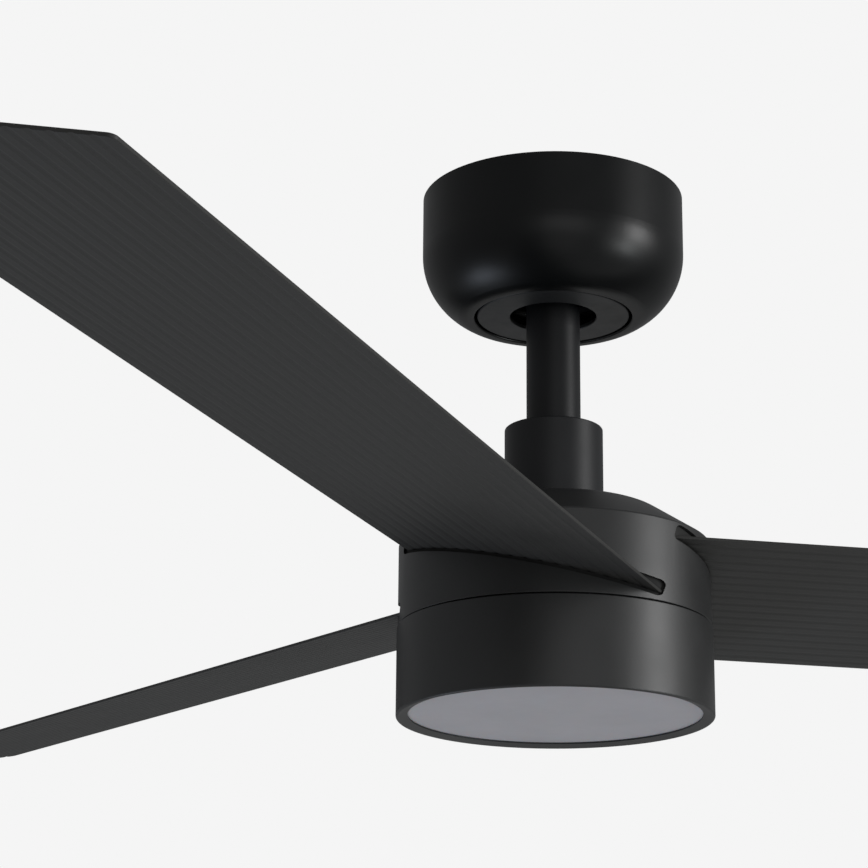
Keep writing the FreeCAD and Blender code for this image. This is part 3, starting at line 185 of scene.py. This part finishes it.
STEEL_LOW, STEEL_HIGH = (0.50, 0.50, 0.50), (0.64, 0.64, 0.63)
CHARCOAL_LOW, CHARCOAL_HIGH = (0.0165, 0.0168, 0.0170), (0.0215, 0.0219, 0.0222)
MATERIALS = {
    # painted shells and blades
    "canopy_paint": paint("satin_black_canopy", (0.0026, 0.0030, 0.0033), (0.0038, 0.0043, 0.0046),
                          0.36, 700.0, 6 * MICRON, specular=0.27),
    "rod_paint": paint("satin_black_rod", (0.0066, 0.0070, 0.0080), (0.0088, 0.0093, 0.0104),
                       0.45, 900.0, 8 * MICRON, specular=0.27),
    "cover_paint": paint("satin_black_cover", (0.0070, 0.0074, 0.0086), (0.0095, 0.0100, 0.0115),
                         0.46, 900.0, 8 * MICRON, specular=0.35),
    "hub_paint": paint("charcoal_texture_hub", CHARCOAL_LOW, CHARCOAL_HIGH, 0.44, 1300.0, 10 * MICRON),
    "light_paint": paint("charcoal_texture_light", CHARCOAL_LOW, CHARCOAL_HIGH, 0.44, 1300.0, 10 * MICRON),
    "blade_paint": paint("matt_dark_blade", (0.0285, 0.0283, 0.0270), (0.0350, 0.0348, 0.0333),
                         0.58, 1100.0, 10 * MICRON, specular=0.35),
    # the bracket's coat is a black finish and also painted shade: it is black so the inside of the canopy's
    # hole looks dark
    "bracket_black": paint("black_coat_and_painted_hole_shade", (0.008, 0.008, 0.008), (0.012, 0.012, 0.012),
                           0.40, 500.0, 6 * MICRON),
    "tray_white": paint("white_reflector", (0.80, 0.80, 0.79), (0.86, 0.86, 0.85), 0.45, 600.0, 6 * MICRON),
    # plastics and rubber
    "insert_plastic": plastic("black_insert", (0.0125, 0.0130, 0.0135), (0.0165, 0.0171, 0.0176), 0.50),
    "ball_plastic": plastic("hard_black_ball", (0.018, 0.018, 0.018), (0.026, 0.026, 0.026), 0.38),
    # the seat liner is black nylon and also painted shade: it is black so the inside of the canopy's hole
    # looks dark
    "liner_nylon": plastic("black_nylon_and_painted_hole_shade", (0.014, 0.014, 0.014), (0.021, 0.021, 0.020), 0.45, glow=0.05),
    "electronics_case": plastic("pale_case", (0.70, 0.70, 0.68), (0.77, 0.77, 0.75), 0.48),
    "terminal_plastic": plastic("nylon_terminal", (0.76, 0.75, 0.69), (0.84, 0.83, 0.77), 0.42, glow=0.1),
    "wire_jacket": plastic("wire_insulation", (0.60, 0.60, 0.58), (0.70, 0.70, 0.68), 0.40, grain=3000.0),
    # the slot seals are rubber and also painted shade: a dark grey sheet that stands in for the shaded
    # hollow of each blade slot
    "gasket_rubber": plastic("rubber_seal_and_painted_slot_shade", (0.020, 0.020, 0.020), (0.032, 0.032, 0.031), 0.85,
                             grain=900.0, depth=120 * MICRON, specular=0.25),
    "board_mask": plastic("white_solder_mask", (0.80, 0.80, 0.78), (0.87, 0.87, 0.85), 0.35,
                          depth=4 * MICRON),
    "led_phosphor": plastic("phosphor", (0.80, 0.62, 0.16), (0.90, 0.74, 0.26), 0.50, grain=6000.0),
    "opal_diffuser": plastic("opal_panel", (0.445, 0.434, 0.460), (0.470, 0.459, 0.487), 0.48,
                             depth=5 * MICRON, specular=0.4, glow=0.15),
    # bare and plated metals
    "zinc_plate": metal("zinc_spangle", STEEL_LOW, STEEL_HIGH, 0.38, (1.0, 6.0, 1.0), spangle=110.0),
    "screw_steel": metal("zinc_screw", (0.52, 0.52, 0.51), (0.66, 0.66, 0.65), 0.32, grain=500.0),
    "motor_steel": metal("drawn_steel", (0.46, 0.46, 0.46), (0.58, 0.58, 0.57), 0.34),
    "motor_casting": metal("cast_aluminium", (0.48, 0.48, 0.49), (0.62, 0.62, 0.63), 0.50, (1.0, 1.0, 1.0),
                           grain=700.0, depth=50 * MICRON),
    "ground_steel": metal("ground_steel", (0.60, 0.60, 0.62), (0.70, 0.70, 0.72), 0.20, grain=900.0,
                          depth=3 * MICRON),
    "magnet_nickel": metal("nickel", (0.55, 0.54, 0.52), (0.64, 0.63, 0.61), 0.22, (1.0, 1.0, 1.0)),
    # stacked sheets and wound wire, with the spacing of their lines in metres
    "lamination_steel": lines("laminations", (0.14, 0.14, 0.145), (0.26, 0.26, 0.27), 0.50, "BANDS",
                              0.0005, 80 * MICRON, metallic=0.8),
    "copper_wire": lines("enamelled_copper", (0.40, 0.13, 0.045), (0.66, 0.27, 0.11), 0.30, "RINGS",
                         0.0006, 160 * MICRON, metallic=0.9),
}


def dress(obj):
    """Swaps each of the object's plain slot materials for the finished one of the same name."""
    for index, plain in enumerate(obj.data.materials):
        slot = plain.name.split(".")[0]
        obj.data.materials[index] = MATERIALS[slot]


for node in NODES.values():
    dress(node)


# ---------------------------------------------------------------- stage, light and camera

FLOOR_REACH, FLOOR_HEIGHT = 14.0, -2.5
FLOOR_LIFT = 0.42  # how much brighter the camera sees the floor than its light alone makes it
BACKDROP = 0.913  # the grey that the camera sees behind the fan
SKY_COLOUR, SKY_STRENGTH = (0.98, 0.99, 1.0, 1.0), 0.255  # what lights the fan all round

CAMERA_PLACE = (0.0, -1.3652, -0.5656)
CAMERA_YAW, CAMERA_PITCH, CAMERA_ROLL = 0.0477, 0.3051, 0.0092  # radians: left, up, right side raised
CAMERA_LENS, CAMERA_SENSOR = 109.0, 36.0  # millimetres

LAMP_TARGET = (0.0, 0.0, -0.2)
# name, place, width and height, watts, colour
LAMPS = (
    ("key_right", (2.53, -0.62, 0.10), (0.8, 0.9), 28.0, (1.0, 1.0, 1.0)),
    ("key_low", (2.34, -0.88, -0.86), (0.7, 0.6), 13.0, (0.96, 1.0, 1.0)),
    ("left_low", (-1.90, 0.25, -2.15), (0.8, 0.8), 12.3, (0.78, 0.86, 1.0)),
    ("right_floor", (1.90, 0.50, -2.10), (1.6, 1.6), 3.5, (1.0, 1.0, 0.98)),
    ("back_floor", (0.30, 2.20, -2.20), (2.0, 1.6), 3.5, (1.0, 1.0, 0.98)),
    ("front_low", (0.30, -2.40, -1.60), (1.6, 1.2), 2.4, (1.0, 1.0, 1.0)),
    ("front_high", (0.50, -2.60, -0.10), (1.8, 1.0), 6.5, (1.0, 1.0, 1.0)),
)


def floor_material():
    """Pale, faintly clouded, and lifted for the camera alone, so it adds no light to the fan."""
    g = Graph("look_floor")
    cloud = g.noise(1.5, 3.0)
    g.set(
        Base_Color=g.ramp(cloud, (0.80, 0.80, 0.80), (0.84, 0.84, 0.84)),
        Roughness=0.9,
        Emission_Color=(FLOOR_LIFT, FLOOR_LIFT, FLOOR_LIFT, 1.0),
        Emission_Strength=g.node("ShaderNodeLightPath").outputs["Is Camera Ray"],
    )
    return g.material


def stage_floor():
    mesh = bpy.data.meshes.new("floor")
    turns = ((-1, -1), (1, -1), (1, 1), (-1, 1))
    corners = [(x * FLOOR_REACH, y * FLOOR_REACH, FLOOR_HEIGHT) for x, y in turns]
    mesh.from_pydata(corners, [], [(0, 1, 2, 3)])
    mesh.materials.append(floor_material())
    floor = bpy.data.objects.new("floor", mesh)
    bpy.context.scene.collection.objects.link(floor)


def sky():
    """Soft light from all round, behind a plain grey that only the camera sees."""
    world = bpy.data.worlds.new("studio")
    bpy.context.scene.world = world
    world.use_nodes = True
    nodes, links = world.node_tree.nodes, world.node_tree.links
    ray = nodes.new("ShaderNodeLightPath")
    seen = nodes["Background"]
    seen.inputs["Color"].default_value = (BACKDROP, BACKDROP, BACKDROP, 1.0)
    lit = nodes.new("ShaderNodeBackground")
    lit.inputs["Color"].default_value = SKY_COLOUR
    lit.inputs["Strength"].default_value = SKY_STRENGTH
    both = nodes.new("ShaderNodeMixShader")
    links.new(ray.outputs["Is Camera Ray"], both.inputs[0])
    links.new(lit.outputs[0], both.inputs[1])
    links.new(seen.outputs[0], both.inputs[2])
    links.new(both.outputs[0], nodes["World Output"].inputs["Surface"])


def lamp(name, place, size, power, colour):
    """A soft rectangular lamp, turned to the middle of the fan and hidden from the camera."""
    data = bpy.data.lights.new(name, "AREA")
    data.shape = "RECTANGLE"
    data.size, data.size_y = size
    data.energy = power
    data.color = colour
    made = bpy.data.objects.new(name, data)
    made.location = place
    made.rotation_euler = (Vector(LAMP_TARGET) - Vector(place)).to_track_quat("-Z", "Y").to_euler()
    made.visible_camera = False
    bpy.context.scene.collection.objects.link(made)


def camera():
    """Looks up at the fan from in front and below, rolled very slightly."""
    data = bpy.data.cameras.new("camera")
    data.sensor_width = CAMERA_SENSOR
    data.lens = CAMERA_LENS
    data.clip_start, data.clip_end = 0.01, 100.0
    level = math.cos(CAMERA_PITCH)
    ahead = Vector((-math.sin(CAMERA_YAW) * level, math.cos(CAMERA_YAW) * level, math.sin(CAMERA_PITCH)))
    right = Vector((math.cos(CAMERA_YAW), math.sin(CAMERA_YAW), 0.0))
    up = right.cross(ahead)
    across = math.cos(CAMERA_ROLL) * right + math.sin(CAMERA_ROLL) * up
    upright = math.cos(CAMERA_ROLL) * up - math.sin(CAMERA_ROLL) * right
    made = bpy.data.objects.new("camera", data)
    turn = Matrix((across, upright, -ahead)).transposed().to_4x4()
    made.matrix_world = Matrix.Translation(CAMERA_PLACE) @ turn
    bpy.context.scene.collection.objects.link(made)
    bpy.context.scene.camera = made


stage_floor()
sky()
for name, place, size, power, colour in LAMPS:
    lamp(name, place, size, power, colour)
camera()
bpy.context.scene.view_settings.view_transform = "Standard"
bpy.context.scene.view_settings.look = "None"
